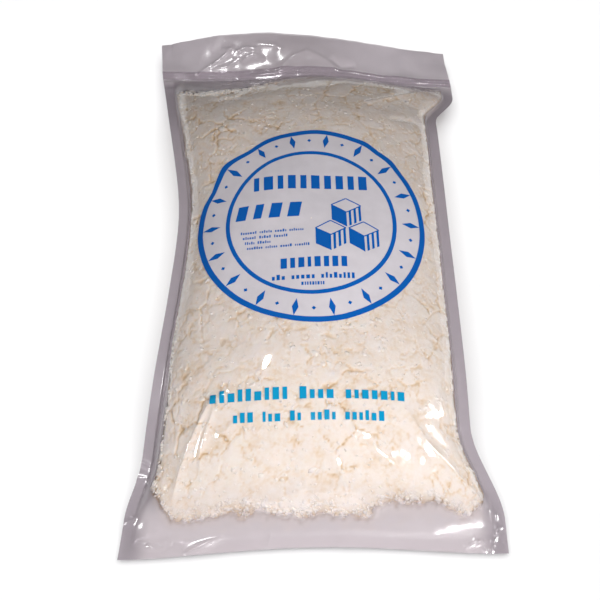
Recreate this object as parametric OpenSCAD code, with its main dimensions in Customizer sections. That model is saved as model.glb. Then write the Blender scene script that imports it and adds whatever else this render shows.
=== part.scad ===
// A clear film bag of crumbled white cheese, lying on its back.
//
// The bag is a flat tube of film, sealed down both sides and across the foot, with a press-to-close
// zip below the cut edge of its header. X runs across the bag, +Y from the foot to the header, +Z up.
// The origin is on the surface that the bag lies on, under the middle of its outline.
//
// A place on the bag is (c, s): s is the distance from the foot edge, and c the share of the width.
// c is -1 to 1 across the filled part, and goes on to -2 and 2 over the two side fins.

/* [Bag] */
// Flat width of the film, which the foot corners still show
film_w = 254; // [200:1:320]
// Length from the foot edge to the far corner of the header
bag_l = 440; // [360:1:540]
// Height of the filled pouch, before its bumps
fill_t = 68; // [45:1:85]
// How much lower the fill is near the zip
head_fall = 10; // [0:1:20]

/* [Outline] */
// How far the left side is drawn in at its pinch
left_pinch = 30; // [10:1:45]
// Distance from the header's edge to that pinch
left_pinch_from_head = 192; // [120:1:230]
// How far the right side is drawn in along its length
right_pinch = 19; // [5:1:35]
// Length over which the right side draws in from the foot corner
right_run = 82; // [50:1:130]
// How much of the left side's pinch happens close to the foot corner
left_flare = 6.5; // [0:0.5:10]
// How far each side of the header draws in towards its cut edge
header_draw = 3; // [0:0.5:6]
// Length of the tuck where the right side steps out again below the zip
tuck_l = 38; // [25:1:60]
// How far the right end of the header is pulled towards the foot by that tuck
header_skew = 14; // [0:1:25]
// How far the middle of the foot edge is pulled in by the fill
foot_pull = 6; // [0:1:12]

/* [Seals] */
// Width of the fin down each side
fin_w = 9; // [5:0.5:14]
// Thickness of the sealed flaps and fins
seal_t = 0.8; // [0.6:0.1:1.6]
// Length of the empty flap at the foot
foot_flap = 19; // [12:1:30]
// Height of the foot flap above the surface
foot_z = 4; // [1:0.5:10]
// Height of the side fins at the waist
fin_z = 27; // [15:1:35]
// Height of the header's corners
header_z = 13; // [2:1:25]
// How much higher the fill pushes the zip than the header's corners
zip_arch = 10; // [0:1:30]
// How much higher it pushes the header's cut edge
header_arch = 19; // [0:1:30]

/* [Zip] */
// Distance from the cut edge of the header down to the zip
header_h = 31; // [20:1:50]
// Width of the zip strip
zip_w = 10; // [8:0.5:18]
// Thickness of the strip's tape
tape_t = 0.5; // [0.4:0.1:1]
// Height of the strip's two ribs above its tape
rib_h = 1.1; // [0.5:0.1:2]

/* [Fill] */
// Length over which the fill rises from the foot flap
foot_rise = 105; // [70:1:160]
// Length over which the fill rises from the zip
head_rise = 85; // [60:1:140]
// Depth of the broad bumps in the fill's top
bump = 1.5; // [0:0.1:3]
// Depth of the dent beside the tuck
dent = 6; // [0:0.5:12]
// Depth of the hollow on the left below the zip
hollow = 7; // [0:0.5:14]

/* [Hidden] */

zip_hi = bag_l - header_h;
zip_lo = zip_hi - zip_w;
left_pinch_at = bag_l - left_pinch_from_head;
tuck_at = zip_lo - 50;     // where the tuck starts
corner_at = 20;            // where the right side starts to draw in from the foot corner
flare_at = [26, 62];       // where the left side's flare starts and ends
sag_l = 130;               // length over which the fins climb from the foot corners
head_sag_l = 110;          // length over which they drop to the header's corners
pull_l = 70;               // length over which the pull on the foot edge dies out
arch_l = 70;               // length over which the header's arch runs down into the pouch
arch_lean = [-0.15, 0.2];  // how far left its peak sits at the zip and at the cut edge
arch_power = [5, 1.2];     // how narrow the arch is there
bump_l = [95, 125];        // spacing of the broad bumps across and along
dent_at = [72, zip_lo - 42];
dent_r = [36, 20];
hollow_at = [-62, zip_lo - 30];
hollow_r = [52, 34];
top_power = 0.4;           // how square the shoulders of the top are; 1 is a cosine arch
end_power = 0.62;          // the same for its two ends
base_power = 0.25;         // the same for the underside, which is much squarer
base_gain = 1.15;          // over 1, so that the middle of the underside is truly flat

across_n = 30;             // columns over the filled part
along_n = 44;              // rows over the filled part
flap_n = 3;                // rows over each end flap

// 0 before a and 1 after b, with a smooth rise between
function ramp(a, b, v) =
    let (t = min(1, max(0, (v - a) / (b - a))))
    t * t * (3 - 2 * t);

// The first of two values at 0, and the second at 1
function mixed(pair, share) = pair[0] + (pair[1] - pair[0]) * share;

// 1 at the peak and 0 at both ends of a side, as a rounded tent
function tent(d, e = 0.16) =
    (sqrt(1 + e * e) - sqrt(d * d + e * e)) / (sqrt(1 + e * e) - e);

// The two side outlines, as distances from the middle line
function left_edge(s) =
    let (
        below = s < left_pinch_at,
        span = below ? left_pinch_at : left_pinch_from_head,
        flare = below ? left_flare : 0
    )
    film_w / 2 - flare * ramp(flare_at[0], flare_at[1], s)
    - (left_pinch - flare) * tent(min(1, abs(s - left_pinch_at) / span))
    - header_draw * ramp(zip_lo, bag_l, s);
function right_edge(s) =
    film_w / 2 - right_pinch * ramp(corner_at, right_run, s) * (1 - ramp(tuck_at, tuck_at + tuck_l, s))
    - header_draw * ramp(zip_lo, bag_l, s);

// Where a place on the bag lies, seen from above
function plan_x(c, s) =
    let (left = -left_edge(s), right = right_edge(s))
    c < -1 ? left + (c + 2) * fin_w
    : c > 1 ? right - (2 - c) * fin_w
    : left + fin_w + (right - left - 2 * fin_w) * (c + 1) / 2;
function plan_y(x, s) =
    let (u = x / (film_w / 2))
    s - bag_l / 2
    + foot_pull * pow(1 - u * u, 2) * (1 - ramp(0, pull_l, s))
    - header_skew * (1 + u) / 2 * ramp(bag_l / 2, bag_l, s);

// Height where the front and back films meet, over the whole outline
function parting_z(x, s) =
    let (
        u = x / (film_w / 2),
        side = foot_z + (fin_z - foot_z) * ramp(0, sag_l, s),
        base = side + (header_z - side) * ramp(bag_l - head_sag_l, zip_lo, s),
        edge = ramp(zip_lo, bag_l, s),
        arch = mixed([zip_arch, header_arch], edge),
        at = u + mixed(arch_lean, edge) * (1 - u * u)
    )
    base + arch * pow(max(0, cos(90 * at)), mixed(arch_power, edge)) * ramp(zip_lo - arch_l, zip_lo, s);

// How full the pouch is at a place: 0 at its seams and 1 in its middle
function end_fill(s, power) =
    pow(sin(90 * min(1, max(0, s - foot_flap) / foot_rise)), power)
    * pow(sin(90 * min(1, max(0, zip_lo - s) / head_rise)), power);
function side_fill(c, power) = abs(c) >= 1 ? 0 : pow(cos(90 * c), power);

// 1 in the middle of a dent, fading out over its two radii
function pit(x, s, at, r) = exp(-pow((x - at[0]) / r[0], 2) - pow((s - at[1]) / r[1], 2));

// The fill's own height, with its broad bumps and dents
function crown_z(x, s) =
    fill_t - head_fall * ramp(bag_l / 2, zip_lo, s)
    - bump * (1 + sin(360 * x / bump_l[0]) * cos(360 * s / bump_l[1]))
    - dent * pit(x, s, dent_at, dent_r)
    - hollow * pit(x, s, hollow_at, hollow_r);

function top_z(c, x, s) =
    let (seam = parting_z(x, s) + seal_t / 2)
    seam + (crown_z(x, s) - seam) * side_fill(c, top_power) * end_fill(s, end_power);
function base_z(c, x, s) =
    let (
        seam = parting_z(x, s) - seal_t / 2,
        full = base_gain * side_fill(c, base_power) * end_fill(s, base_power)
    )
    seam * (1 - min(1, full));

// The columns and rows of the mesh, closer together towards the seams and the ends
columns = concat(
    [-2],
    [for (i = [0:across_n]) sin(90 * (2 * i / across_n - 1))],
    [2]
);
zip_steps = [0, 0.2, 0.32, 0.44, 0.56, 0.68, 0.8, 1];
zip_rows = [for (t = zip_steps) zip_lo + zip_w * t];
function eased(t) = t - 0.6 * sin(360 * t) / (2 * PI);
pouch_rows = [
    for (i = [0:along_n - 1]) foot_flap + (zip_lo - foot_flap) * eased(i / along_n)
];
rows = concat(
    [for (i = [0:flap_n - 1]) foot_flap * i / flap_n],
    pouch_rows,
    zip_rows,
    [for (i = [1:flap_n]) zip_hi + header_h * i / flap_n]
);

// One skin of the mesh: a grid of points, row by row
function top_skin(at) = [
    for (s = at) [for (c = columns) let (x = plan_x(c, s)) [x, plan_y(x, s), top_z(c, x, s)]]
];
function base_skin(at) = [
    for (s = at) [for (c = columns) let (x = plan_x(c, s)) [x, plan_y(x, s), base_z(c, x, s)]]
];

// The strip's ribs: its height above the film at each of the zip's rows
function rib(i) = i == 2 || i == 5 ? rib_h : 0;
function zip_skin() =
    let (film = top_skin(zip_rows))
    [for (i = [0:len(film) - 1]) [for (p = film[i]) p + [0, 0, tape_t + rib(i)]]];

// A closed solid between two skins whose grids match point for point
module slab(upper, lower) {
    nr = len(upper);
    nc = len(upper[0]);
    function at(level, r, c) = (level * nr + r) * nc + c;
    function quad(a, b, c, d) = [[a, b, c], [a, c, d]];
    skins = [
        for (r = [0:nr - 2], c = [0:nc - 2])
            each concat(
                quad(at(0, r, c), at(0, r + 1, c), at(0, r + 1, c + 1), at(0, r, c + 1)),
                [for (t = quad(at(1, r, c), at(1, r + 1, c), at(1, r + 1, c + 1), at(1, r, c + 1)))
                    [t[2], t[1], t[0]]]
            )
    ];
    sides = [
        for (r = [0:nr - 2])
            each concat(
                quad(at(1, r, 0), at(1, r + 1, 0), at(0, r + 1, 0), at(0, r, 0)),
                quad(at(0, r, nc - 1), at(0, r + 1, nc - 1), at(1, r + 1, nc - 1), at(1, r, nc - 1))
            )
    ];
    ends = [
        for (c = [0:nc - 2])
            each concat(
                quad(at(0, 0, c), at(0, 0, c + 1), at(1, 0, c + 1), at(1, 0, c)),
                quad(at(1, nr - 1, c), at(1, nr - 1, c + 1), at(0, nr - 1, c + 1), at(0, nr - 1, c))
            )
    ];
    polyhedron([for (skin = [upper, lower], row = skin) each row], concat(skins, sides, ends));
}

// The film bag with its fill, as one solid
module bag() {
    color("ivory") slab(top_skin(rows), base_skin(rows));
}

// The press-to-close strip, lying on the front film
module zip() {
    color("lavender") slab(zip_skin(), top_skin(zip_rows));
}

bag();
zip();
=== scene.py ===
"""The looks of a clear zip bag full of crumbled white cheese, lying on its back.

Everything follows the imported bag: its outline and its two skins are read from the CAD mesh, smoothed, and
become two sheets of film. The film's folds are waves and creases added to those sheets. The cheese is a
core with cracks, with several thousand crumbs pressed against the inside of the film, and the print lies
on its outside.

Plan positions are in millimetres, with x to the right, y from the foot to the header and 0, 0 in the
middle. Depth is measured from the film inwards. Meshes are in metres.
"""
import math

import bmesh
import bpy
import numpy as np
from mathutils import Euler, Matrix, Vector
from mathutils.bvhtree import BVHTree


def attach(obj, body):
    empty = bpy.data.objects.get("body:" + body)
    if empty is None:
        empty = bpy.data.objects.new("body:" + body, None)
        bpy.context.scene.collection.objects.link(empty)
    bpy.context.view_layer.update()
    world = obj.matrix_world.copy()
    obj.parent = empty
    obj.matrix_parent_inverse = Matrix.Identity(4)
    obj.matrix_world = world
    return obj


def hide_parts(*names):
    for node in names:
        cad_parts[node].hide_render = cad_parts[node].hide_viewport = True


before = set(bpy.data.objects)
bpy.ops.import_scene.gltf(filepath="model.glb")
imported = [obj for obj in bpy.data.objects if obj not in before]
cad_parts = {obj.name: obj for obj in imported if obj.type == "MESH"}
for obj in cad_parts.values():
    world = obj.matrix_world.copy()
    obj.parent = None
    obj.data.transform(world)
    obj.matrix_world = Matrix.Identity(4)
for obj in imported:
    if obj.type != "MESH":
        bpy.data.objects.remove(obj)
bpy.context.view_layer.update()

MM = 0.001
FIN_W = 9  # width of the sealed fin down each side
FOOT_SEAL = 7  # width of the seal across the foot
FILM_GAP = 0.12  # between two films that lie together
FLOOR_GAP = 0.02  # between the back film and the floor
FIN_COLUMNS = 6  # columns of the film's grid over each fin
POUCH_COLUMNS = 228  # its columns over the pouch
ROWS = 380  # its rows from the foot to the head
SMOOTH = (6.3, 5.4)  # how far the CAD facets are smoothed, in rows and columns
RANDOM = np.random.default_rng(5)


# ---- noise, cells and crests

def hashed(ix, iy, seed):
    """An evenly spread number from 0 to 1 for each lattice point."""
    n = (ix * 73856093) ^ (iy * 19349663) ^ (seed * 83492791)
    n = (n ^ (n >> 13)) * 1274126177
    return ((n ^ (n >> 16)) & 0xFFFFFF) / 0xFFFFFF


def eased(t):
    """0 to 1 with a smooth start and end."""
    t = np.clip(t, 0, 1)
    return t * t * (3 - 2 * t)


def rise(value, start, over):
    """0 up to start and 1 from start + over, with a smooth rise between."""
    return eased((value - start) / over)


def waves(x, y, size, seed):
    """Smooth noise of about -1 to 1, with bumps about size apart."""
    gx, gy = x / size, y / size
    ix, iy = np.floor(gx).astype(np.int64), np.floor(gy).astype(np.int64)
    fx, fy = gx - ix, gy - iy

    def slope(dx, dy):
        angle = 2 * math.pi * hashed(ix + dx, iy + dy, seed)
        return np.cos(angle) * (fx - dx) + np.sin(angle) * (fy - dy)

    sx, sy = eased(fx), eased(fy)
    low = slope(0, 0) * (1 - sx) + slope(1, 0) * sx
    high = slope(0, 1) * (1 - sx) + slope(1, 1) * sx
    return 1.4 * (low * (1 - sy) + high * sy)


def rippled(x, y, ripples, base=0):
    """The base with a list of waves added to it: the height of each, its size and its seed."""
    return sum((height * waves(x, y, size, seed) for height, size, seed in ripples), base)


def cells(x, y, size, seed):
    """Distances to the nearest and the next of scattered points, and the nearest one's own number."""
    gx, gy = x / size, y / size
    ix, iy = np.floor(gx).astype(np.int64), np.floor(gy).astype(np.int64)
    first, second, own = np.full(x.shape, 9.0), np.full(x.shape, 9.0), np.zeros(x.shape)
    for dx in (-1, 0, 1):
        for dy in (-1, 0, 1):
            px = ix + dx + hashed(ix + dx, iy + dy, seed)
            py = iy + dy + hashed(ix + dx, iy + dy, seed + 1)
            away = np.hypot(gx - px, gy - py)
            nearer = away < first
            second = np.where(nearer, first, np.minimum(second, away))
            own = np.where(nearer, hashed(ix + dx, iy + dy, seed + 2), own)
            first = np.minimum(first, away)
    return first, second, own


def spread(count):
    """Values from -1 to 1 that lie closer together towards both ends."""
    even = np.linspace(-1, 1, count)
    return 0.5 * even + 0.5 * np.sin(even * math.pi / 2)


def crest(x, y, points, reach):
    """A sharp crest along a line of points: 1 on the line, fading over reach and towards both ends."""
    ends = list(zip(points, points[1:]))
    lengths = [math.dist(a, b) for a, b in ends]
    height, done = np.zeros(x.shape), 0.0
    for ((ax, ay), (bx, by)), length in zip(ends, lengths):
        t = np.clip(((x - ax) * (bx - ax) + (y - ay) * (by - ay)) / length ** 2, 0, 1)
        away = np.hypot(x - ax - t * (bx - ax), y - ay - t * (by - ay))
        along = (done + t * length) / sum(lengths)
        fade = np.sqrt(np.clip(np.sin(math.pi * along), 0, 1))
        height = np.maximum(height, np.exp(-away / reach) * fade)
        done += length
    return height


def creased(x, y, creases):
    """The sum of a list of creases: the points along each, its reach and its height."""
    return sum(height * crest(x, y, points, reach) for points, reach, height in creases)


# ---- the bag's form, read from the CAD

def cad_arrays(node):
    """A CAD node's points in millimetres, and its triangles."""
    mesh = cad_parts[node].data
    mesh.calc_loop_triangles()
    points = np.empty(len(mesh.vertices) * 3)
    mesh.vertices.foreach_get("co", points)
    triangles = np.empty(len(mesh.loop_triangles) * 3, np.int32)
    mesh.loop_triangles.foreach_get("vertices", triangles)
    return points.reshape(-1, 3) / MM, triangles.reshape(-1, 3)


def silhouette(points, triangles, axis, stations):
    """The lowest and highest extent across one plan axis, at stations along the other."""
    edges = np.vstack([triangles[:, [0, 1]], triangles[:, [1, 2]], triangles[:, [2, 0]]])
    along, across = points[edges][:, :, 1 - axis], points[edges][:, :, axis]
    low, high = [], []
    for station in stations:
        hit = (along[:, 0] - station) * (along[:, 1] - station) < 0
        a, b, p, q = along[hit, 0], along[hit, 1], across[hit, 0], across[hit, 1]
        crossing = p + (q - p) * (station - a) / (b - a)
        low.append(crossing.min())
        high.append(crossing.max())
    return np.array(low), np.array(high)


def carried_on(at, values, reach, steps=3):
    """A line of values that runs straight on by reach, with the slope of its first and last steps."""
    low = values[0] - (values[steps] - values[0]) / (at[steps] - at[0]) * reach
    last = -1 - steps
    high = values[-1] + (values[-1] - values[last]) / (at[-1] - at[last]) * reach
    return np.concatenate([[at[0] - reach], at, [at[-1] + reach]]), np.concatenate([[low], values, [high]])


class Outline:
    """The bag's outline seen from above, and the grid that fits it.

    c runs across, from -1 to 1 over the pouch and on to -2 and 2 over the fins, and t along, from 0 to 1.
    """

    FOOT_INSET, HEAD_INSET, SIDE_INSET = 7, 16, 2  # how far inside the corners the edges are read
    SIDE_STATIONS, END_STATIONS = 160, 90  # in how many places
    SIDE_REACH, FOOT_REACH, HEAD_REACH = 24, 6, 9  # how far they are carried on past those
    ROUNDS = 6  # of working out x and y from each other

    def __init__(self, points, triangles):
        self.half_w, half_l = points[:, 0].max(), points[:, 1].max()
        half_head = abs(points[points[:, 1].argmax(), 0])
        ys = np.linspace(-half_l + self.FOOT_INSET, half_l - self.HEAD_INSET, self.SIDE_STATIONS)
        left, right = silhouette(points, triangles, 0, ys)
        self.left = carried_on(ys, left, self.SIDE_REACH)
        self.right = carried_on(ys, right, self.SIDE_REACH)
        foot_xs, head_xs = self.stations(self.half_w), self.stations(half_head)
        self.foot = carried_on(foot_xs, silhouette(points, triangles, 1, foot_xs)[0], self.FOOT_REACH)
        self.head = carried_on(head_xs, silhouette(points, triangles, 1, head_xs)[1], self.HEAD_REACH)

    def stations(self, half):
        """The places where an end's edge is read, with half its width."""
        return np.linspace(-half + self.SIDE_INSET, half - self.SIDE_INSET, self.END_STATIONS)

    def sides(self, y):
        return np.interp(y, *self.left), np.interp(y, *self.right)

    def ends(self, x):
        return np.interp(x, *self.foot), np.interp(x, *self.head)

    def plan(self, c, t):
        """The plan position of a place on the grid."""
        x = c * self.half_w / 2
        for _ in range(self.ROUNDS):
            foot, head = self.ends(x)
            y = foot + (head - foot) * t
            left, right = self.sides(y)
            inner = (left + FIN_W) + (right - left - 2 * FIN_W) * (c + 1) / 2
            x = np.where(c < -1, left + (c + 2) * FIN_W, np.where(c > 1, right - (2 - c) * FIN_W, inner))
        return x, y

    def grid(self, x, y):
        """The place on the grid of a plan position inside the pouch."""
        left, right = self.sides(y)
        foot, head = self.ends(x)
        return 2 * (x - left - FIN_W) / (right - left - 2 * FIN_W) - 1, (y - foot) / (head - foot)


def blurred(grid, sigmas):
    """The grid smoothed along both ways, with its border kept in place."""
    for axis, sigma in enumerate(sigmas):
        reach = int(3 * sigma)
        kernel = np.exp(-0.5 * (np.arange(-reach, reach + 1) / sigma) ** 2)
        lines = np.moveaxis(grid, axis, 0)
        low = 2 * lines[:1] - lines[reach:0:-1]
        high = 2 * lines[-1:] - lines[-2:-reach - 2:-1]
        padded = np.concatenate([low, lines, high])
        total = sum(k * padded[i:i + len(lines)] for i, k in enumerate(kernel))
        grid = np.moveaxis(total / kernel.sum(), 0, axis)
    return grid


class Sheet:
    """A grid of points that can be read between its points, and at a depth below its surface."""

    def __init__(self, points, outward):
        self.points = points
        along, across = np.gradient(points, axis=0), np.gradient(points, axis=1)
        normal = np.cross(across, along) * outward
        self.steps = np.linalg.norm(along, axis=2), np.linalg.norm(across, axis=2)
        self.area = np.linalg.norm(normal, axis=2)
        self.normal = normal / np.maximum(self.area, 1e-9)[..., None]

    def read(self, grid, row, column):
        rows, columns = grid.shape[:2]
        i = np.clip(row.astype(int), 0, rows - 2)
        j = np.clip(column.astype(int), 0, columns - 2)
        fi, fj = row - i, column - j
        if grid.ndim == 3:
            fi, fj = fi[..., None], fj[..., None]
        low = grid[i, j] * (1 - fj) + grid[i, j + 1] * fj
        high = grid[i + 1, j] * (1 - fj) + grid[i + 1, j + 1] * fj
        return low * (1 - fi) + high * fi

    def at(self, row, column, depth):
        """Points at a depth below the surface, which is positive inwards."""
        depth = np.asarray(depth)
        if depth.ndim:
            depth = depth[..., None]
        return self.read(self.points, row, column) - depth * self.read(self.normal, row, column)


def column_shares():
    """The grid's c values, closer together where the sides are steep."""
    fin = np.arange(1, FIN_COLUMNS + 1) / FIN_COLUMNS
    return np.concatenate([-1 - fin[::-1], spread(POUCH_COLUMNS + 1), 1 + fin])


FAR = 500  # where a ray towards the bag starts, above or below
SEAM_Z = 10  # about the height of the bag's edges, for a ray that misses them
CAST_INSET = 0.997  # draws the rays in, so that those at the edges meet the bag


def skin_height(tree, x, y, way):
    """The height at which the CAD bag is met from above (way -1) or below (way 1)."""
    start = Vector((x, y, -FAR * way))
    hit = tree.ray_cast(start, Vector((0, 0, way)))[0]
    if hit is None:
        hit = tree.find_nearest(Vector((x, y, SEAM_Z)))[0]
    return hit.z


def cast_heights(points, triangles, x, y):
    """Heights of the CAD bag's upper and lower skin over a grid of plan positions."""
    tree = BVHTree.FromPolygons(points.tolist(), triangles.tolist())
    places = np.stack([x, y], axis=-1).reshape(-1, 2) * CAST_INSET
    heights = [[skin_height(tree, px, py, way) for px, py in places.tolist()] for way in (-1, 1)]
    return np.array(heights).reshape(2, *x.shape)


class Bag:
    """The bag's plan grid and its two film sheets, with their folds."""

    ZIP_READ = 12  # how far from the middle the zip's place is read
    ZIP_SLANT = 1  # how far the strip slants within that
    FIN_CLOSES = 1 / 8  # the share of a fin over which the two films come together
    FOOT_CLOSES = 7  # the length over which they do so past the foot seal
    ZIP_CLOSES = 5  # and below the zip
    HEADER_GAP = 1.6  # how far they stand apart above the zip
    OPEN_FROM, OPEN_OVER = 4, 12  # where they part above it, and over what length
    OPEN_ACROSS = 0.95  # the share of the width in which they do

    def __init__(self):
        points, triangles = cad_arrays("bag")
        zip_points = cad_arrays("zip")[0]
        self.outline = Outline(points, triangles)
        self.c, t = np.meshgrid(column_shares(), np.linspace(0, 1, ROWS + 1))
        self.x, self.y = self.outline.plan(self.c, t)
        foot, head = self.outline.ends(self.x)
        self.from_foot, self.from_head = self.y - foot, head - self.y
        middle = zip_points[np.abs(zip_points[:, 0]) < self.ZIP_READ, 1]
        self.header_l = self.outline.ends(0)[1] - middle.max()
        self.zip_w = middle.max() - middle.min() - self.ZIP_SLANT
        self.from_zip = self.from_head - self.header_l - self.zip_w
        upper, lower = cast_heights(points, triangles, self.x, self.y)
        self.shape_film(blurred(upper, SMOOTH), blurred(lower, SMOOTH))

    def shape_film(self, upper, lower):
        """Closes the films along their seams, and adds their folds."""
        fin = np.clip((np.abs(self.c) - 1) / self.FIN_CLOSES, 0, 1)
        foot = 1 - rise(self.from_foot, FOOT_SEAL, self.FOOT_CLOSES)
        head = 1 - rise(self.from_zip, 0, self.ZIP_CLOSES)
        self.together = np.maximum(fin, np.maximum(foot, head))
        middle = (upper + lower) / 2 + loose_folds(self) * self.together
        gap = FILM_GAP + self.header_opening()
        upper = upper * (1 - self.together) + (middle + gap / 2) * self.together
        lower = lower * (1 - self.together) + (middle - gap / 2) * self.together
        folds = pouch_folds(self) * (1 - self.together)
        front = Sheet(np.stack([self.x, self.y, upper], axis=-1), 1)
        front = Sheet(front.points + folds[..., None] * front.normal, 1)
        lower = np.maximum(lower, FLOOR_GAP)
        self.front = front
        self.back = Sheet(np.stack([self.x, self.y, lower], axis=-1), -1)
        self.room = np.linalg.norm(self.front.points - self.back.points, axis=-1)

    def header_opening(self):
        """How far the two films stand apart above the zip."""
        above_zip = eased((self.header_l - self.OPEN_FROM - self.from_head) / self.OPEN_OVER)
        across = np.clip(1 - (self.c / self.OPEN_ACROSS) ** 2, 0, 1)
        return self.HEADER_GAP * above_zip * across

    def place(self, x, y):
        """The row and column of a plan position."""
        c, t = self.outline.grid(x, y)
        return t * ROWS, np.interp(c, self.c[0], np.arange(self.c.shape[1]))


def loose_folds(bag):
    """The waves and creases of the fins, the foot flap and the header."""
    x, y = bag.x, bag.y
    flaps = rippled(x, y, FLAP_WAVES) + creased(x, y, FLAP_CREASES)
    header = eased((HEADER_FOLDS - bag.from_head) / HEADER_FOLDS_OVER)
    return flaps + header * rippled(x, y, HEADER_WAVES)


def pouch_folds(bag):
    """The waves and creases of the front film over the fill."""
    x, y = bag.x, bag.y
    return rippled(x, y, BROAD_WAVES) + rippled(x, y, FINE_WAVES) + creased(x, y, POUCH_CREASES)


# waves: height, size and seed of each
FLAP_WAVES = [(0.5, 46, 11), (0.25, 17, 12)]
HEADER_WAVES = [(1.3, 34, 13), (0.8, 13, 14)]
BROAD_WAVES = [(0.5, 42, 21), (0.32, 16, 22)]
FINE_WAVES = [(0.14, 7, 23), (0.03, 3.2, 24)]
HEADER_FOLDS = 60  # how far from the cut edge the header's own waves start
HEADER_FOLDS_OVER = 40  # the length over which they rise

# creases: the plan points along each, its reach and its height
POUCH_CREASES = [
    ([(-54, -126), (-65, -131), (-74, -146), (-81, -161), (-86, -172), (-92, -190)], 2.3, 2.6),
    ([(-54, -127), (-61, -132), (-67, -147), (-72, -163), (-72, -173)], 2.0, 2.0),
    ([(-44, -140), (-52, -147), (-61, -154)], 3.0, 1.2),
    ([(-36, -149), (-33, -157), (-38, -167)], 1.3, 0.8),
    ([(-67, -166), (-57, -162)], 1.8, 0.8),
    ([(60, -136), (74, -156), (83, -164), (95, -175), (106, -183), (115, -192)], 2.2, 2.4),
    ([(101, -132), (106, -149), (109, -162), (108, -174)], 2.0, 1.9),
    ([(84, -124), (88, -140)], 1.5, 0.8),
    ([(20, -147), (28, -152), (40, -155)], 2.0, 0.9),
    ([(36, -158), (50, -169), (68, -181)], 4.0, 1.4),
    ([(12, -166), (21, -178), (25, -190)], 3.5, 1.2),
    ([(-5, -171), (-6, -184)], 2.2, 0.8),
    ([(34, -188), (35, -198)], 1.2, 0.8),
    ([(45, -186), (39, -197)], 2.0, 0.9),
    ([(44, 120), (70, 133), (93, 146), (112, 156)], 3.5, 1.6),
    ([(66, 104), (80, 108), (95, 110)], 3.0, -1.8),
    ([(-104, 96), (-90, 81)], 2.2, 1.4),
    ([(-98, -62), (-92, -100), (-90, -140)], 4.0, 0.7),
]
FLAP_CREASES = [
    ([(-124, -197), (-109, -192), (-97, -187)], 1.6, 2.6),
    ([(-115, -199), (-103, -205), (-92, -211)], 1.4, 2.2),
    ([(-100, -200), (-90, -208)], 1.3, 1.8),
    ([(-108, -202), (-106, -214)], 1.3, 1.6),
    ([(-118, -209), (-96, -214)], 2.0, 1.6),
    ([(-113, -190), (-100, -198), (-88, -202)], 1.5, 1.8),
    ([(-96, -196), (-84, -204)], 1.5, 1.6),
    ([(-84, -217), (-70, -211), (-58, -205)], 2.6, 2.4),
    ([(-30, -214), (-26, -201)], 2.0, 1.0),
    ([(112, -186), (119, -196), (119, -206), (116, -219)], 1.8, 2.8),
    ([(100, -202), (112, -209), (125, -203)], 2.0, 2.2),
    ([(98, -216), (110, -212), (113, -219)], 1.6, 1.8),
    ([(104, -206), (108, -214)], 1.5, 1.6),
    ([(76, -201), (96, -205)], 1.6, 1.0),
    ([(-122, -154), (-104, -165)], 1.8, 1.8),
    ([(-122, -168), (-108, -170)], 1.8, 1.8),
    ([(-92, 184), (-84, 190), (-72, 196), (-58, 206)], 1.8, 2.6),
    ([(-78, 190), (-66, 190), (-54, 196)], 1.5, 2.0),
    ([(-70, 206), (-58, 202), (-47, 196)], 1.5, 2.0),
    ([(-60, 199), (-50, 203), (-36, 201)], 1.8, 2.2),
    ([(-52, 194), (-42, 197), (-32, 193)], 1.5, 1.8),
    ([(-40, 206), (-24, 203), (-16, 198)], 1.8, 1.4),
    ([(-55, 183), (-40, 180), (-22, 180), (-8, 184)], 1.6, 2.2),
    ([(-22, 182), (-8, 192), (4, 196), (18, 190), (30, 182)], 3.0, 2.0),
    ([(24, 192), (34, 185), (46, 187)], 4.0, -3.0),
    ([(58, 178), (84, 178), (108, 172)], 2.4, 1.2),
    ([(-120, 176), (-104, 178)], 1.5, 1.6),
    ([(-120, 168), (-102, 170), (-84, 168)], 1.6, 1.6),
]


# ---- meshes

def mesh_piece(name, points, faces, material):
    """A smooth mesh object that rides on the bag; points are in millimetres."""
    used, numbers = np.unique(faces, return_inverse=True)
    mesh = bpy.data.meshes.new(name)
    mesh.from_pydata((points[used] * MM).tolist(), [], numbers.reshape(faces.shape).tolist())
    mesh.polygons.foreach_set("use_smooth", [True] * len(mesh.polygons))
    mesh.materials.append(material)
    piece = bpy.data.objects.new(name, mesh)
    bpy.context.scene.collection.objects.link(piece)
    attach(piece, "root")
    return piece


def grid_faces(rows, columns, start=0, flip=False):
    """The quads of a grid of points that are numbered row by row."""
    first = (np.arange(rows - 1)[:, None] * columns + np.arange(columns - 1)).ravel() + start
    faces = np.stack([first, first + 1, first + columns + 1, first + columns], axis=1)
    return faces[:, ::-1] if flip else faces


def paint(piece, name, values):
    """Stores one number for each point, for the material to read."""
    attribute = piece.data.attributes.new(name, "FLOAT", "POINT")
    attribute.data.foreach_set("value", np.asarray(values, np.float32))


def weld(piece):
    """Joins points that lie in the same place."""
    form = bmesh.new()
    form.from_mesh(piece.data)
    bmesh.ops.remove_doubles(form, verts=form.verts, dist=1e-6)
    form.to_mesh(piece.data)
    form.free()


# ---- film

WET_BY_ZIP = 0.45  # wetness straight below the zip, where 1 is fully wet
FOOT_DULL_LIGHT = 0.5  # dullness and painted light over the foot flap, where 1 is the header's sides
HEADER_DULL_LIGHT = 0.55  # and in the header's clearest and least pale place
HEADER_LEAST_PALE_X = -15  # where that is


def wetness(bag):
    """How wet the film is with the cheese under it."""
    touching = rise(fill_margin(bag, bag.x, bag.y), -1, 6)
    return touching * (WET_BY_ZIP + (1 - WET_BY_ZIP) * rise(bag.from_zip, 2, 26))


def dullness_and_painted_light(bag):
    """How dull and pale the film is where it lies empty, over the foot flap and the header, paler towards the
    header's sides: partly hazier film, partly painted light.
    """
    foot = FOOT_DULL_LIGHT * (1 - rise(bag.from_foot, 24, 16)) * rise(120.4 - np.abs(bag.x), 0, 14)
    sideways = rise(np.abs(bag.x - HEADER_LEAST_PALE_X), 0, 90)
    header = (1 - rise(bag.from_head, 34, 16)) * (HEADER_DULL_LIGHT + (1 - HEADER_DULL_LIGHT) * sideways)
    return np.maximum(foot, header)


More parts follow.
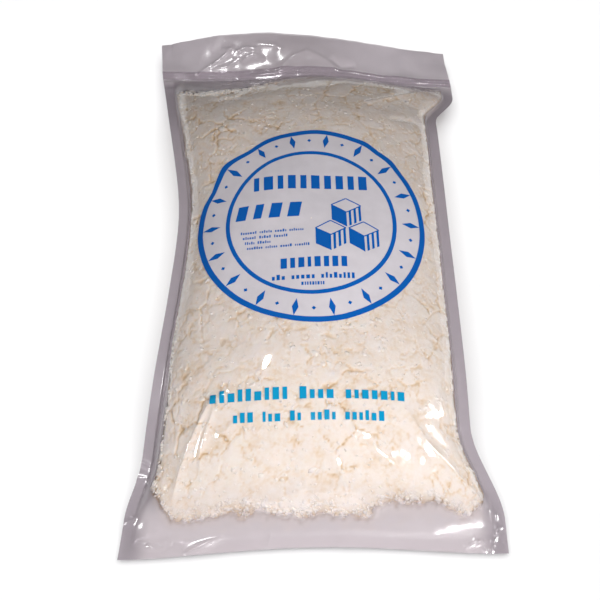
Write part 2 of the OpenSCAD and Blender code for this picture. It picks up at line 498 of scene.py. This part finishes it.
def build_film(bag, material):
    """The two sheets, marked with how wet they are, and with how dull they are and how much painted light
    they carry.
    """
    rows, columns = bag.c.shape
    wet, dull_painted_light = wetness(bag), dullness_and_painted_light(bag)
    front = mesh_piece("film_front", bag.front.points.reshape(-1, 3), grid_faces(rows, columns),
                       material)
    # the dullness also carries painted light, which makes the film paler over the foot flap and the header
    paint(front, "wet", wet.ravel())
    paint(front, "dull_painted_light", dull_painted_light.ravel())
    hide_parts("bag")
    half = bag.back.points[::2, ::2]
    faces = grid_faces(*half.shape[:2], flip=True)
    back = mesh_piece("film_back", half.reshape(-1, 3), faces, material)
    paint(back, "wet", wet[::2, ::2].ravel())
    paint(back, "dull_painted_light", dull_painted_light[::2, ::2].ravel())


# ---- cheese

# where the fill ends: plan x, and the distance from the foot edge or from the zip
FILL_FOOT = [
    (-114, 62), (-106, 40), (-97, 25), (-93, 19), (-62, 17), (-54, 19), (-45, 19), (-28, 17), (-6, 16),
    (36, 16), (42, 20), (58, 24), (80, 24), (90, 22), (103, 20), (110, 25), (114, 38), (118, 58),
]
FILL_HEAD = [
    (-118, 12), (-97, 22), (-60, 26), (-35, 23), (-19, 15), (-7, 7), (2, 1), (32, 1), (47, 7), (71, 12),
    (99, 6), (118, 4),
]
EDGE_WAVES = [(2.6, 13, 31), (1.6, 5, 32), (1.2, 2.4, 33)]  # how uneven its edge is
SIDE_GAP = 0.3  # between the fill and the side seams
SIDE_STEEP = 3  # how much faster it rises from the sides than from its two ends
LEFT_DRAW = 3.5  # how far it draws in on the left towards the foot
SWAY_X = [(2.6, 9, 41), (1.3, 3.4, 42)]  # how its cracks sway
SWAY_Y = [(2.6, 9, 43), (1.3, 3.4, 44)]
SKIN_DEPTH = 0.25  # how deep it lies below the film, before its waves
SKIN_WAVES = [(0.10, 2.4, 45), (0.12, 7, 46)]
UNEVEN = 0.10  # how much the clumps differ in depth, as a share of the cracks' depth
# size of the clumps between the cracks, the cracks' width and depth, how many are open, and seed
CRACKS = [(22, 0.07, 1.1, 0.25, 51), (10, 0.13, 0.8, 0.22, 54), (5, 0.25, 0.5, 0.25, 57)]
FRONT_GRID = (375, 210)  # rows and columns of the cheese under the front film
BACK_GRID = (188, 105)  # and under the back film
CORE_LENGTH = (0.03, 0.95)  # where they start and end, as shares of the bag's length
EDGE_SLOPE = 9  # the width over which the cheese rises from its edge
FILM_CLEAR = 0.15  # between the film and the cheese or a crumb


def fill_margin(bag, x, y):
    """How far a plan position lies inside the fill's uneven edge."""
    foot, head = bag.outline.ends(x)
    left, right = bag.outline.sides(y)
    from_foot = y - foot - np.interp(x, *zip(*FILL_FOOT))
    from_head = head - y - bag.header_l - bag.zip_w - np.interp(x, *zip(*FILL_HEAD))
    from_left = x - left - LEFT_DRAW * rise(-y, 60, 70)
    from_side = np.minimum(from_left, right - x) - FIN_W - SIDE_GAP
    margin = np.minimum(np.minimum(from_foot, from_head), from_side * SIDE_STEEP)
    return margin + rippled(x, y, EDGE_WAVES) * rise(from_side, 0, 5)


def crack_depth(x, y):
    """How deep the cheese lies below the film: a soft mass with thin cracks in patches."""
    wx, wy = rippled(x, y, SWAY_X, x), rippled(x, y, SWAY_Y, y)
    depth = rippled(x, y, SKIN_WAVES, SKIN_DEPTH)
    for size, width, deep, share, seed in CRACKS:
        near, next_near, own = cells(wx, wy, size, seed)
        crack = 1 - eased((next_near - near) / width)
        open_here = eased(waves(x, y, 1.9 * size, seed + 3) * 1.5 + share)
        depth = depth + deep * crack * open_here + UNEVEN * deep * own
    return np.maximum(depth, 0.05)


def cheese_skin(bag, sheet, other, size, shift, flip, name, material):
    """One side of the cheese, from under its film down to the fill's edge half-way between the films."""
    c, t = np.meshgrid(spread(size[1]), np.linspace(*CORE_LENGTH, size[0]))
    x, y = bag.outline.plan(c, t)
    row, column = t * ROWS, np.interp(c, bag.c[0], np.arange(bag.c.shape[1]))
    share = np.sqrt(rise(fill_margin(bag, x, y), 0, EDGE_SLOPE))
    depth = crack_depth(x + shift, y)
    film, opposite = sheet.at(row, column, 0), other.at(row, column, 0)
    room = np.linalg.norm(film - opposite, axis=-1)
    inside = sheet.at(row, column, np.minimum(depth + FILM_CLEAR, 0.45 * room))
    middle = (film + opposite) / 2
    points = middle + (inside - middle) * share[..., None]
    faces = grid_faces(*size, flip=flip)
    faces = faces[(share.ravel()[faces] > 0).any(axis=1)]
    piece = mesh_piece(name, points.reshape(-1, 3), faces, material)
    # the depth, raised towards the fill's edge, drives the painted shade of the cheese's cracks and edge
    paint(piece, "depth", (depth + 1.5 * (1 - share)).ravel()[np.unique(faces)])


def build_core(bag, material):
    cheese_skin(bag, bag.front, bag.back, FRONT_GRID, 0, False, "cheese_front", material)
    cheese_skin(bag, bag.back, bag.front, BACK_GRID, 500, True, "cheese_back", material)


# name, how many, radius in mm, and detail of each kind of crumb
CRUMB_KINDS = [
    ("crumbs_large", 380, 2.9, 2), ("crumbs_medium", 1700, 1.8, 2), ("crumbs_small", 5500, 0.95, 1),
]
BACK_SHARE = 0.35  # the share of the crumbs that lie against the back film
LOOSE_SHARE = 0.10  # that lie loose past the fill's edge
SMEAR_SHARE = 0.04  # and that stick to the front film below the zip
RADIUS_VARIES = 0.22  # spread of the logarithm of a crumb's radius
LUMPY, LUMPY_MOST = 0.22, 1.6  # how uneven a crumb is, and how many times that a point may reach
FLAT_LEAST, FLAT_MOST = (0.8, 0.8, 0.55), (1.35, 1.2, 0.95)  # its stretch along, across and in depth
CRUMB_SHADE = 0.5  # how much painted shade a crumb gets with depth, next to the core
POUCH_C = 0.985  # how far across the pouch they lie
EDGE_RIM, EDGE_WEIGHT = 9, 8  # width of the fill's rim, and how much denser the crumbs are on it
LOOSE_FROM, LOOSE_TO, LOOSE_FADE = -9, 3, 5  # the margins of the loose crumbs, and how they thin out
LOOSE_ROOM = 1.6  # the least room between the films for a loose crumb
SMEAR_Y = 90  # where the smears start


def ball(detail):
    """Points and faces of a unit ball."""
    form = bmesh.new()
    bmesh.ops.create_icosphere(form, subdivisions=detail, radius=1)
    points = np.array([v.co for v in form.verts])
    faces = np.array([[v.index for v in f.verts] for f in form.faces])
    form.free()
    return points, faces


def turned(points, count):
    """count copies of the points, each turned its own way."""
    q = RANDOM.normal(size=(count, 4))
    w, x, y, z = (q / np.linalg.norm(q, axis=1)[:, None]).T
    turn = np.array([[1 - 2 * (y * y + z * z), 2 * (x * y - w * z), 2 * (x * z + w * y)],
                     [2 * (x * y + w * z), 1 - 2 * (x * x + z * z), 2 * (y * z - w * x)],
                     [2 * (x * z - w * y), 2 * (y * z + w * x), 1 - 2 * (x * x + y * y)]])
    return np.einsum("abn,npb->npa", turn, np.broadcast_to(points, (count, *points.shape)))


def scattered(sheet, weight, count):
    """Random rows and columns on a sheet, spread by area and weight."""
    share = (sheet.area * weight)[:-1, :-1]
    picked = RANDOM.choice(share.size, count, p=(share / share.sum()).ravel())
    rows, columns = np.divmod(picked, share.shape[1])
    return rows + RANDOM.random(count), columns + RANDOM.random(count)


def crumbs_on(bag, sheet, rows, columns, radii, form, sunk):
    """Crumbs pressed flat against the inside of a film sheet."""
    count = len(rows)
    shape = turned(form, count)
    lumps = 1 + LUMPY * RANDOM.normal(size=shape.shape[:2])[..., None].clip(-LUMPY_MOST, LUMPY_MOST)
    flat = RANDOM.uniform(FLAT_LEAST, FLAT_MOST, (count, 3))[:, None]
    shape = shape * lumps * flat * radii[:, None, None]
    step_along = sheet.read(sheet.steps[0], rows, columns)[:, None]
    step_across = sheet.read(sheet.steps[1], rows, columns)[:, None]
    spin = RANDOM.uniform(0, math.pi, count)[:, None]
    a = shape[..., 0] * np.cos(spin) - shape[..., 1] * np.sin(spin)
    b = shape[..., 0] * np.sin(spin) + shape[..., 1] * np.cos(spin)
    row = (rows[:, None] + b / step_along).clip(0, ROWS)
    column = (columns[:, None] + a / step_across).clip(FIN_COLUMNS + 1, FIN_COLUMNS + POUCH_COLUMNS - 1)
    depth = (radii * sunk)[:, None] + shape[..., 2]
    room = sheet.read(bag.room, row, column)
    depth = np.clip(depth, FILM_CLEAR, np.maximum(room - 0.2, FILM_CLEAR))
    return sheet.at(row, column, depth), depth


def build_crumbs(bag, material):
    """The crumbs against both films and loose past the fill's edge, one piece for each size."""
    margin = fill_margin(bag, bag.x, bag.y)
    pouch = (np.abs(bag.c) < POUCH_C) & (bag.from_foot > FOOT_SEAL + 3)
    past_edge = (margin > LOOSE_FROM) & (margin <= LOOSE_TO) & pouch & (bag.room > LOOSE_ROOM)
    past_edge = past_edge * np.exp((margin - LOOSE_TO) / LOOSE_FADE)
    inside = ((margin > 1) & pouch) * np.where(margin < EDGE_RIM, EDGE_WEIGHT, 1)
    raised = inside * (bag.back.points[..., 2] > 1)
    below_zip = (margin < 1) & (bag.from_zip > 2) & (bag.y > SMEAR_Y) & pouch
    for name, count, radius, detail in CRUMB_KINDS:
        form, faces = ball(detail)
        on_back, loose, smear = (int(count * share) for share in (BACK_SHARE, LOOSE_SHARE, SMEAR_SHARE))
        # sheet, where on it, how many, and how deep their middles lie, in radii
        lots = [(bag.front, inside, count - on_back - loose - smear, (0.78, 1.08)),
                (bag.back, raised, on_back, (0.62, 1.0)),
                (bag.back, past_edge, loose, (0.7, 1.0)),
                (bag.front, below_zip, smear, (0.2, 0.6))]
        points, depths = [], []
        for sheet, weight, number, sunk in lots:
            rows, columns = scattered(sheet, weight, number)
            radii = radius * np.exp(RADIUS_VARIES * RANDOM.normal(size=number))
            placed, depth = crumbs_on(bag, sheet, rows, columns, radii, form, RANDOM.uniform(*sunk, number))
            points.append(placed.reshape(-1, 3))
            depths.append(depth.ravel())
        starts = np.arange(count)[:, None, None] * len(form)
        piece = mesh_piece(name, np.vstack(points), (faces + starts).reshape(-1, 3), material)
        # deeper crumbs get painted shade
        paint(piece, "depth", np.concatenate(depths) * CRUMB_SHADE)


# ---- print

RING_AT = (3, 1)  # the middle of the round print
RING_R, RING_LINE = 82, 4  # radius and line width of the outer ring
INNER_R, INNER_LINE = 61, 3
GROUND_LIFT, INK_LIFT = 0.10, 0.22  # how high the white ground and the blues lie on the film
# where a fold pushes the print out or in: its middle, its reach and how far
WARPS = [
    ((-60, 55), 9, 3.0), ((-43, 69), 10, -2.2), ((-73, 35), 9, -1.8), ((46, 72), 9, 1.8),
    ((64, 58), 8, 1.8),
]
BLOCK_W = (0.30, 0.60)  # width of a word's blocks, least and greatest, as shares of its height
TALL_SHARE = 0.35  # how many of them are of full height
LEAST_LEFT = 0.35  # a word ends when less than this share of its height is left
CUBES_AT = (28, 2)
BORDER_R, BORDER_COUNT = 71.5, 18  # radius of the border, and how many diamonds it has
DIAMOND, DOT = (6.6, 2.3), (1.5, 1.5)
# rows of words: start, the words' widths, the height of their tall and of their low blocks, and lean
BLUE_WORDS = [
    ((-38, 27), [82], 12, 12, 0),
    ((-51, 3), [54], 19, 12, 0.2),
    ((-47, -9), [12, 9, 8, 10], 2.2, 1.6, 0),
    ((-45.5, -13.2), [9, 8, 10], 2.2, 1.6, 0),
    ((-44, -17.4), [8, 10], 2.2, 1.6, 0),
    ((-42.5, -21.6), [12, 9, 8, 10], 2.2, 1.6, 0),
    ((-19, -39), [46], 8, 8, 0),
    ((-25, -48), [9, 16, 24], 4.4, 3, 0),
    ((-5, -53), [17], 2.6, 2.6, 0),
]
CYAN_WORDS = [
    ((-65, -133), [54, 24, 40], 7.6, 5.6, 0),
    ((-50, -146), [16, 15, 7, 17, 26], 6.0, 4.6, 0),
]


class Ink:
    """Flat shapes in one colour, laid on the outside of the front film."""

    def __init__(self, bag, lift):
        self.bag, self.lift = bag, lift
        self.points, self.faces, self.count = [], [], 0

    def add(self, x, y):
        """Lays a grid of plan positions on the film."""
        rows, columns = x.shape
        wx, wy = warped(x, y)
        row, column = self.bag.place(wx, wy)
        self.points.append(self.bag.front.at(row, column, -self.lift).reshape(-1, 3))
        self.faces.append(grid_faces(rows, columns, self.count))
        self.count += x.size

    def ring(self, at, low, high, steps, turns=240):
        """A flat ring between two radii."""
        angle, radius = np.meshgrid(np.linspace(0, 2 * math.pi, turns + 1), np.linspace(low, high, steps + 1))
        self.add(at[0] - radius * np.cos(angle), at[1] + radius * np.sin(angle))

    def quad(self, corners, nu=6, nv=6):
        """A four-cornered patch; the corners run anticlockwise."""
        u, v = np.meshgrid(np.linspace(0, 1, nu), np.linspace(0, 1, nv))
        shares = (1 - u) * (1 - v), u * (1 - v), u * v, (1 - u) * v
        self.add(*(sum(corner[axis] * share for corner, share in zip(corners, shares)) for axis in (0, 1)))

    def block(self, x, y, w, h, lean=0.0):
        """An upright or leaning block with its lower left corner at x, y."""
        slide = h * lean
        self.quad([(x, y), (x + w, y), (x + w + slide, y + h), (x + slide, y + h)], 4, 5)

    def words(self, at, widths, tall, low, lean, gap=0.28, space=0.75):
        """A row of words, each a run of blocks of uneven width and height."""
        x, y = at
        for word in widths:
            left = word
            while left > LEAST_LEFT * tall:
                w = tall * RANDOM.uniform(*BLOCK_W)
                h = tall if RANDOM.random() < TALL_SHARE else low
                self.block(x, y, min(w, left), h, lean)
                x += w + gap * tall
                left -= w + gap * tall
            x += space * tall

    def piece(self, name, material):
        return mesh_piece(name, np.vstack(self.points), np.vstack(self.faces), material)


def warped(x, y):
    """The print's plan positions, pushed out or in where the film folds under it."""
    ax, ay = x - RING_AT[0], y - RING_AT[1]
    radius = np.maximum(np.hypot(ax, ay), 1)
    push = sum(h * np.exp(-((x - px) ** 2 + (y - py) ** 2) / r ** 2) for (px, py), r, h in WARPS)
    return x + push * ax / radius, y + push * ay / radius


def build_print(bag, inks):
    """The white ground, the blue rings with what they hold, and the pale blue words at the foot."""
    ground = Ink(bag, GROUND_LIFT)
    ground.ring(RING_AT, 0.5, RING_R - RING_LINE / 2, 44)
    ground.piece("print_ground", inks["white"])
    blue = Ink(bag, INK_LIFT)
    blue.ring(RING_AT, RING_R - RING_LINE, RING_R, 3)
    blue.ring(RING_AT, INNER_R - INNER_LINE, INNER_R, 3)
    border(blue)
    cubes(blue, *CUBES_AT)
    for row in BLUE_WORDS:
        blue.words(*row)
    blue.piece("print_blue", inks["blue"])
    cyan = Ink(bag, INK_LIFT)
    for row in CYAN_WORDS:
        cyan.words(*row)
    cyan.piece("print_cyan", inks["cyan"])


def border(ink):
    """Diamonds and dots in turn, between the two rings."""
    for i in range(2 * BORDER_COUNT):
        angle = math.pi * i / BORDER_COUNT
        out, side = Vector((math.cos(angle), math.sin(angle))), Vector((-math.sin(angle), math.cos(angle)))
        middle = Vector(RING_AT) + out * BORDER_R
        long, wide = DIAMOND if i % 2 == 0 else DOT
        ink.quad([middle - out * long, middle - side * wide, middle + out * long, middle + side * wide], 5, 5)


def cubes(ink, x, y, size=13):
    """Three plain cubes in a pile, each with an open top, a solid side and a striped side."""
    for ax, ay in ((0, 0), (1.8, 0), (0.9, 1.55)):
        cx, cy = x + (ax - 0.9) * size, y + (ay - 1.2) * size
        w, h = 0.82 * size, 0.47 * size
        ink.quad([(cx - w, cy + h), (cx - w, cy + h - size), (cx, cy - size), (cx, cy)])
        for stripe in range(3):
            a, b = (stripe + 0.45) / 3, (stripe + 0.95) / 3
            ink.quad([(cx + w * a, cy + h * a - size), (cx + w * b, cy + h * b - size),
                      (cx + w * b, cy + h * b), (cx + w * a, cy + h * a)], 4, 6)
        outline = [(cx, cy), (cx + w, cy + h), (cx, cy + 2 * h), (cx - w, cy + h)]
        for start, end in zip(outline, outline[1:] + outline[:1]):
            line(ink, start, end, 0.9)


def line(ink, start, end, width):
    """A straight line between two places."""
    a, b = Vector(start), Vector(end)
    side = Vector((-(b - a).y, (b - a).x)).normalized() * width / 2
    ink.quad([a - side, b - side, b + side, a + side], 8, 3)


# ---- zip

TAPE_T = 0.4  # thickness of the strip's tape
RIB_H = 1.0  # height of its two ribs above that
RIBS_AT = (0.32, 0.68)  # where they lie across it, as shares of its width
RIB_REACH = 0.055  # and how wide they are
TAPE_EDGE = 0.06  # the share over which the tape thins out at each edge
TAPE_LEAST = 0.02  # thickness at those edges
TAPE_LIFT = 0.05  # between the strip and the film
TAPE_ROWS = 33  # rows of points across the strip


def zip_profile(share):
    """The strip's height across its width: a thin tape with two ribs."""
    ribs = sum(np.exp(-((share - at) / RIB_REACH) ** 2) for at in RIBS_AT)
    edge = eased(np.minimum(share, 1 - share) / TAPE_EDGE)
    return (TAPE_T + RIB_H * ribs) * edge + TAPE_LEAST


def build_zip(bag, material):
    """The press-to-close strip, laid across the front film."""
    share = np.linspace(0, 1, TAPE_ROWS)
    columns = np.arange(0, bag.c.shape[1], 1.0)
    column, across = np.meshgrid(columns, share)
    bag_l = (bag.from_head + bag.from_foot)[0, 0]
    top_row = ROWS * (1 - bag.header_l / bag_l)
    row = top_row - bag.zip_w * (ROWS / bag_l) * (1 - across)
    upper = bag.front.at(row, column, -zip_profile(across) - TAPE_LIFT)
    lower = bag.front.at(row, column, np.full(row.shape, -TAPE_LIFT))
    closed = np.concatenate([upper, lower[::-1], upper[:1]])
    faces = grid_faces(len(closed), len(columns))
    piece = mesh_piece("zip_strip", closed.reshape(-1, 3), faces, material)
    weld(piece)
    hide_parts("zip")


# ---- materials

# film that lies empty, and film on the cheese: the tint of what is seen through it, and the haze's share
DRY_TINT, DRY_HAZE = (0.67, 0.63, 0.665), 0.46
WET_TINT, WET_HAZE = (0.955, 0.94, 0.95), 0.0
FILM_HAZE = (0.58, 0.53, 0.575)  # the haze's colour, and the paler colours that it takes where the film is dull, partly painted light
DULL_LIGHT_HAZE = (0.80, 0.735, 0.775)
PALE_LIGHT_HAZE = (0.95, 0.88, 0.94)
DULL_LIGHT_ADDS = 0.28  # how much haze the dull places add, partly as painted light, and the cloudy patches
CLOUDS_ADD = 0.06
FILM_GLOSS = 0.08  # gloss seen straight on
DRY_ROUGH, WET_ROUGH = 0.18, 0.08
CHEESE_PALE = (0.95, 0.90, 0.845)  # the cheese's colours, from pale to deep: its own uneven tan, and painted shade in its cracks
CHEESE_MID = (0.92, 0.84, 0.75)
CHEESE_TAN_AND_SHADE = (0.83, 0.675, 0.49)
CHEESE_DEEP_SHADE = (0.60, 0.42, 0.24)
TONE_START = -0.77  # its tone before what is added, where 0 is pale and 1 deep
PATCH_TONE, GRAIN_TONE = 1.1, 0.5  # how much its patches and its grains add
DEPTH_SHADE = 0.62  # how much painted shade each millimetre of depth adds
# the colour of each ink, and how much is seen through it
INKS = {
    "white": ((0.83, 0.80, 0.87), 0.2),
    "blue": ((0.002, 0.12, 0.50), 0),
    "cyan": ((0.004, 0.30, 0.56), 0),
}
INK_SHADE = 0.94  # the darkest shade of an ink's patches
INK_GLOSS, INK_ROUGH = 0.05, 0.12
TAPE_TINT, TAPE_MILK = (0.94, 0.92, 0.94, 1), (0.78, 0.72, 0.77, 1)
TAPE_HAZE = 0.22  # how milky the zip strip is
TAPE_GLOSS, TAPE_ROUGH = 0.06, 0.12


class Surface:
    """A material under construction: nodes by type, with values set on their sockets."""

    def __init__(self, name):
        self.material = bpy.data.materials.new(name)
        self.material.use_nodes = True
        self.nodes, self.links = self.material.node_tree.nodes, self.material.node_tree.links
        self.nodes.clear()

    def node(self, kind, **sockets):
        """A node with its sockets set by name, or by number as n0, n1 and so on."""
        node = self.nodes.new(kind)
        for name, value in sockets.items():
            self.put(node, name.replace("_", " "), value)
        return node

    def put(self, node, name, value):
        """Links a socket to another's output, or sets its value."""
        numbered = name[0] == "n" and name[1:].isdigit()
        socket = node.inputs[int(name[1:]) if numbered else name]
        if isinstance(value, bpy.types.NodeSocket):
            self.links.new(value, socket)
        else:
            socket.default_value = value

    def math(self, operation, a, b):
        node = self.node("ShaderNodeMath", n0=a, n1=b)
        node.operation = operation
        return node.outputs[0]

    def plus(self, base, value, share):
        """The base with a share of the value added to it."""
        return self.math("ADD", base, self.math("MULTIPLY", value, share))

    def mix(self, share, a, b):
        return self.node("ShaderNodeMixShader", n0=share, n1=a, n2=b).outputs[0]

    def noise(self, size_mm, detail=3.0, rough=0.55):
        place = self.node("ShaderNodeTexCoord").outputs["Object"]
        scale = 1 / (size_mm * MM)
        node = self.node("ShaderNodeTexNoise", Vector=place, Scale=scale, Detail=detail, Roughness=rough)
        return node.outputs["Fac"]

    def bump(self, height, distance_mm):
        node = self.node("ShaderNodeBump", Height=height, Distance=distance_mm * MM, Strength=1.0)
        return node.outputs[0]

    def ramp(self, value, stops):
        """A colour for each value, from a list of values and their colours."""
        node = self.node("ShaderNodeValToRGB", Fac=value)
        for at, colour in stops[2:]:
            node.color_ramp.elements.new(at)
        for element, (at, colour) in zip(sorted(node.color_ramp.elements, key=lambda e: e.position), stops):
            element.position, element.color = at, (*colour, 1)
        return node.outputs["Color"]

    def attribute(self, name):
        """A number that was painted on the mesh."""
        node = self.node("ShaderNodeAttribute")
        node.attribute_name = name
        return node.outputs["Fac"]

    def finish(self, shader):
        self.node("ShaderNodeOutputMaterial", Surface=shader)
        return self.material


def glossed(surface, base, straight, roughness, normal=None):
    """A base shader under a clear gloss, whose share is least where it is seen straight on."""
    gloss = surface.node("ShaderNodeBsdfGlossy", Color=(1, 1, 1, 1), Roughness=roughness)
    if normal is not None:
        surface.put(gloss, "Normal", normal)
    facing = surface.node("ShaderNodeLayerWeight", Blend=0.5).outputs["Facing"]
    share = surface.plus(straight, surface.math("POWER", facing, 5.0), 1 - straight)
    return surface.mix(share, base, gloss.outputs[0])


def film_material():
    """Film that is almost clear where it lies on the moist cheese, and dull where it lies empty, with painted
    light that makes it paler over the foot flap and the header.
    """
    surface = Surface("clear_film")
    wet = surface.attribute("wet")
    tint = surface.ramp(wet, [(0.0, DRY_TINT), (1.0, WET_TINT)])
    clear = surface.node("ShaderNodeBsdfTransparent", Color=tint)
    dull_painted_light = surface.attribute("dull_painted_light")
    # paler haze where the film is dull: partly hazier film, partly painted light
    colour = surface.ramp(dull_painted_light, [(0.0, FILM_HAZE), (0.5, DULL_LIGHT_HAZE), (1.0, PALE_LIGHT_HAZE)])
    haze = surface.node("ShaderNodeBsdfDiffuse", Color=colour)
    amount = surface.plus(DRY_HAZE, wet, WET_HAZE - DRY_HAZE)
    amount = surface.plus(amount, dull_painted_light, DULL_LIGHT_ADDS)
    amount = surface.plus(amount, surface.noise(14), CLOUDS_ADD)
    base = surface.mix(amount, clear.outputs[0], haze.outputs[0])
    normal = surface.bump(surface.noise(2.5, 2.0), 0.03)
    roughness = surface.plus(DRY_ROUGH, wet, WET_ROUGH - DRY_ROUGH)
    return surface.finish(glossed(surface, base, FILM_GLOSS, roughness, normal))


def cheese_material():
    """Pale cheese in uneven tan patches, with painted shade that makes it warmer and darker in its cracks and
    with depth.
    """
    surface = Surface("crumbled_cheese")
    tone_and_shade = surface.plus(TONE_START, surface.noise(11, 5.0, 0.75), PATCH_TONE)
    tone_and_shade = surface.plus(tone_and_shade, surface.noise(2.4, 3.0, 0.6), GRAIN_TONE)
    # painted shade: darker and warmer with depth
    tone_and_shade = surface.plus(tone_and_shade, surface.attribute("depth"), DEPTH_SHADE)
    stops = [(0.0, CHEESE_PALE), (0.3, CHEESE_MID), (0.65, CHEESE_TAN_AND_SHADE), (1.0, CHEESE_DEEP_SHADE)]
    colour = surface.ramp(tone_and_shade, stops)
    grain = surface.math("ADD", surface.noise(0.9, 4.0, 0.6), surface.noise(3.0, 3.0, 0.6))
    shader = surface.node("ShaderNodeBsdfPrincipled", Base_Color=colour, Roughness=0.65,
                          Normal=surface.bump(grain, 0.13), Subsurface_Weight=0.25, Subsurface_Scale=0.0015)
    shader.inputs["Subsurface Radius"].default_value = (1.0, 0.8, 0.6)
    return surface.finish(shader.outputs[0])


def ink_material(ink):
    """Glossy ink in slightly uneven patches."""
    surface = Surface("ink_" + ink)
    colour, see_through = INKS[ink]
    shade = surface.ramp(surface.noise(9), [(0.3, [c * INK_SHADE for c in colour]), (0.7, colour)])
    base = surface.node("ShaderNodeBsdfDiffuse", Color=shade).outputs[0]
    if see_through:
        clear = surface.node("ShaderNodeBsdfTransparent", Color=(1, 1, 1, 1)).outputs[0]
        base = surface.mix(see_through, base, clear)
    return surface.finish(glossed(surface, base, INK_GLOSS, INK_ROUGH))


def strip_material():
    """The zip strip's clear plastic, a little milky."""
    surface = Surface("zip_plastic")
    clear = surface.node("ShaderNodeBsdfTransparent", Color=TAPE_TINT).outputs[0]
    milk = surface.node("ShaderNodeBsdfDiffuse", Color=TAPE_MILK).outputs[0]
    base = surface.mix(TAPE_HAZE, clear, milk)
    normal = surface.bump(surface.noise(5, 2.0), 0.1)
    return surface.finish(glossed(surface, base, TAPE_GLOSS, TAPE_ROUGH, normal))


# ---- floor, light and camera

CAMERA_AT = (-10.5, -328, 562)
CAMERA_DOWN = 62  # degrees below level
CAMERA_TURN = 0.95  # degrees towards +X
CAMERA_LENS, CAMERA_SENSOR = 50.3, 36
CAMERA_NEAR = 0.01  # nearest distance that it sees
# the lights are placed in metres, and their powers are in watts
KEY_AT, KEY_AIM = (0.16, -0.54, 0.85), (0.02, -0.18, 0.03)
KEY_ANGLE, KEY_RADIUS, KEY_POWER, KEY_COLOUR = 64, 0.22, 42, (1, 0.985, 0.97)
GLINTS_AIM = (0, -0.05, 0.03)
# name, place, size and power
GLINTS = [
    ("front", (0.30, -0.76, 0.62), 0.11, 2.5),
    ("left", (-0.74, -0.52, 0.62), 0.14, 4),
    ("right", (0.47, -0.66, 0.68), 0.09, 1.7),
    ("side", (0.86, -0.28, 0.52), 0.10, 2.5),
    ("above", (-0.30, 0.08, 0.92), 0.08, 2),
]
OVERHEAD_Z, OVERHEAD_SIZE, OVERHEAD_POWER = 1.6, 2.6, 51
WORLD_COLOUR, WORLD_STRENGTH = (1, 0.98, 1, 1), 0.08
FLOOR_HALF = 3.0  # half the side of the floor, in metres
FLOOR_COLOUR = (0.9, 0.9, 0.9, 1)


def build_camera():
    data = bpy.data.cameras.new("camera")
    data.lens, data.sensor_width = CAMERA_LENS, CAMERA_SENSOR
    data.clip_start = CAMERA_NEAR
    camera = bpy.data.objects.new("camera", data)
    camera.location = [v * MM for v in CAMERA_AT]
    camera.rotation_euler = Euler((math.radians(90 - CAMERA_DOWN), 0, math.radians(-CAMERA_TURN)))
    bpy.context.scene.collection.objects.link(camera)
    bpy.context.scene.camera = camera


def aimed(name, data, at, aim):
    """A light at one place that shines towards another."""
    light = bpy.data.objects.new(name, data)
    light.location = at
    light.rotation_euler = (Vector(aim) - Vector(at)).to_track_quat("-Z", "Y").to_euler()
    bpy.context.scene.collection.objects.link(light)
    return light


def area_light(name, at, aim, size, power):
    """A square light with a side of size metres."""
    data = bpy.data.lights.new(name, "AREA")
    data.size, data.energy = size, power
    return aimed(name, data, at, aim)


def glint(name, at, size, power):
    """A small bright light that is only seen as a reflection in the film."""
    light = area_light("glint_" + name, at, GLINTS_AIM, size, power)
    light.visible_diffuse = False


def key_light():
    """A wide soft beam that fades towards its edge and isn't seen in the film."""
    data = bpy.data.lights.new("key", "SPOT")
    data.spot_size, data.spot_blend = math.radians(KEY_ANGLE), 1.0
    data.shadow_soft_size, data.energy, data.color = KEY_RADIUS, KEY_POWER, KEY_COLOUR
    light = aimed("key", data, KEY_AT, KEY_AIM)
    light.visible_glossy = False
    return light


def shines_on(light, things):
    """Lets a light reach only some things."""
    reached = bpy.data.collections.new(light.name + "_reach")
    for thing in things:
        reached.objects.link(thing)
    light.light_linking.receiver_collection = reached


def build_floor():
    mesh = bpy.data.meshes.new("floor")
    corners = [(-1, -1), (1, -1), (1, 1), (-1, 1)]
    mesh.from_pydata([(x * FLOOR_HALF, y * FLOOR_HALF, 0) for x, y in corners], [], [(0, 1, 2, 3)])
    floor = bpy.data.objects.new("floor", mesh)
    bpy.context.scene.collection.objects.link(floor)
    surface = Surface("floor")
    plain = surface.node("ShaderNodeBsdfDiffuse", Color=FLOOR_COLOUR)
    mesh.materials.append(surface.finish(plain.outputs[0]))
    return floor


def build_stage():
    """The floor under its own light, and the key light and the glints on the bag."""
    floor = build_floor()
    things = [thing for thing in bpy.context.scene.objects if thing.type == "MESH" and thing != floor]
    key = key_light()
    for row in GLINTS:
        glint(*row)
    overhead = area_light("floor_light", (0, 0, OVERHEAD_Z), (0, 0, 0), OVERHEAD_SIZE, OVERHEAD_POWER)
    shines_on(overhead, [floor])
    shines_on(key, things)
    world = bpy.data.worlds.new("studio")
    world.use_nodes = True
    background = world.node_tree.nodes["Background"]
    background.inputs["Color"].default_value = WORLD_COLOUR
    background.inputs["Strength"].default_value = WORLD_STRENGTH
    bpy.context.scene.world = world
    bpy.context.scene.view_settings.view_transform = "Standard"


# ---- the whole

bag = Bag()
film = film_material()
cheese = cheese_material()
build_film(bag, film)
build_core(bag, cheese)
build_crumbs(bag, cheese)
build_print(bag, {name: ink_material(name) for name in INKS})
build_zip(bag, strip_material())
build_camera()
build_stage()
